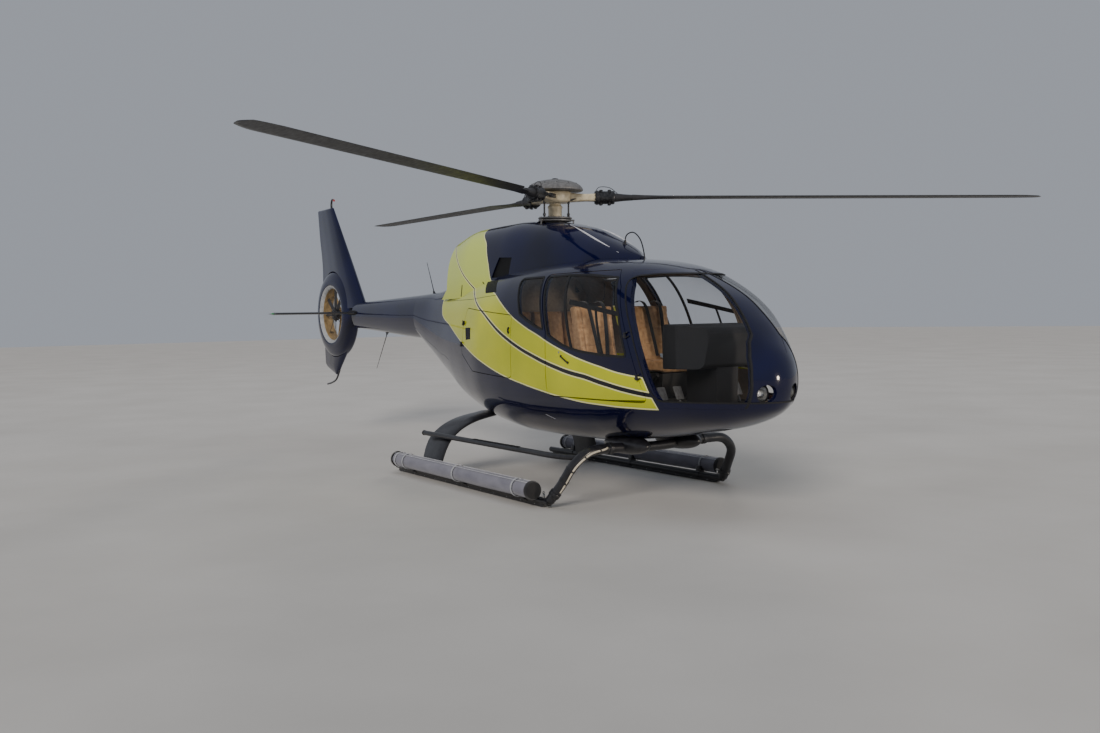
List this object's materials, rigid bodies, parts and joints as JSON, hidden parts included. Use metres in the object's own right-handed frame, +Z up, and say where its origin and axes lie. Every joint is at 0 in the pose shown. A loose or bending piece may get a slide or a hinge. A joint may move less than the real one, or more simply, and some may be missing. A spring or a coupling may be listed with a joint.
{
  "type": "light helicopter",
  "caption": "Light helicopter with a domed glass nose, hinged doors, skids with packed floats, a main rotor and a ducted tail rotor.",
  "frame": {"origin": "on the ground, below the middle of the overall box; the main rotor turns about an axis 1.68 m ahead of it", "axes": "+X forward to the nose, +Y to port, +Z up; the ground is z = 0"},
  "size_m": [9.5991, 8.3575, 3.5285],
  "materials": {
    "navy_paint": "gloss",
    "green_paint": "gloss",
    "window_glass": "polished",
    "blade_composite": "matte",
    "duct_tan": "satin",
    "float_fabric": "matte",
    "cream_metal": "satin",
    "grey_metal": "satin",
    "tan_leather": "satin",
    "cabin_plastic": "matte",
    "gear_black": "satin"
  },
  "bodies": {
    "airframe": {"belly": "navy_paint", "roof": "navy_paint", "nose_cap": "navy_paint", "centre_post": "navy_paint", "canopy_right": "window_glass", "canopy_left": "window_glass", "door_frame_right": "navy_paint", "door_frame_left": "navy_paint", "side_panel_right": "navy_paint", "quarter_glass_right": "window_glass", "side_panel_left": "navy_paint", "sliding_door": "navy_paint", "sliding_door_glass": "window_glass", "rear_fuselage": "navy_paint", "cowl_front": "navy_paint", "cowl_rear": "green_paint", "gearbox": "grey_metal", "engine": "grey_metal", "tail_duct": "navy_paint", "tail_boom": "navy_paint", "upper_fin": "navy_paint", "lower_fin": "navy_paint", "stabiliser_right": "gear_black", "stabiliser_left": "gear_black", "tail_drive": "duct_tan", "swashplate": "grey_metal", "skid_right": "gear_black", "skid_left": "gear_black", "float_right": "float_fabric", "float_left": "float_fabric", "step_right": "gear_black", "step_left": "gear_black", "rear_leg_right": "gear_black", "rear_leg_left": "gear_black", "front_cross_tube": "gear_black", "cabin_floor": "cabin_plastic", "rear_bulkhead": "tan_leather", "seat_right": "tan_leather", "seat_left": "tan_leather", "rear_bench": "tan_leather", "instrument_console": "cabin_plastic", "boom_whip_top": "gear_black", "boom_whip_below": "gear_black", "roof_whip": "gear_black", "fin_light": "gear_black"},
    "main_rotor": {"mast": "cream_metal", "rotor_hub": "cream_metal", "rotor_cap": "grey_metal", "main_blade_1": "blade_composite", "main_blade_2": "blade_composite", "main_blade_3": "blade_composite"},
    "tail_fan": {"tail_rotor": "blade_composite"},
    "front_door_right": {"door_right": "navy_paint", "door_glass_right": "window_glass"},
    "front_door_left": {"door_left": "navy_paint", "door_glass_left": "window_glass"},
    "hold_door": {"baggage_door": "green_paint"}
  },
  "joints": [
    {"name": "main_rotor_spin", "type": "hinge", "parent": "airframe", "child": "main_rotor", "pos_m": [1.67561, 0, 2.89985], "axis": [0.0279, 0, 0.9996], "continuous": true},
    {"name": "tail_rotor_spin", "type": "hinge", "parent": "airframe", "child": "tail_fan", "pos_m": [-4.14, 0, 1.78], "axis": [0, 1, 0], "continuous": true},
    {"name": "door_right_hinge", "type": "hinge", "parent": "airframe", "child": "front_door_right", "pos_m": [3.824, -0.69949, 1.16], "axis": [-0.3634, -0.0253, 0.9313], "range_deg": [0, 70]},
    {"name": "door_left_hinge", "type": "hinge", "parent": "airframe", "child": "front_door_left", "pos_m": [3.824, 0.69949, 1.16], "axis": [0.3634, -0.0253, -0.9313], "range_deg": [0, 70]},
    {"name": "baggage_door_hinge", "type": "hinge", "parent": "airframe", "child": "hold_door", "pos_m": [0.714, -0.60328, 1.4], "axis": [-0.1993, -0.0342, -0.9793], "range_deg": [0, 85]}
  ]
}
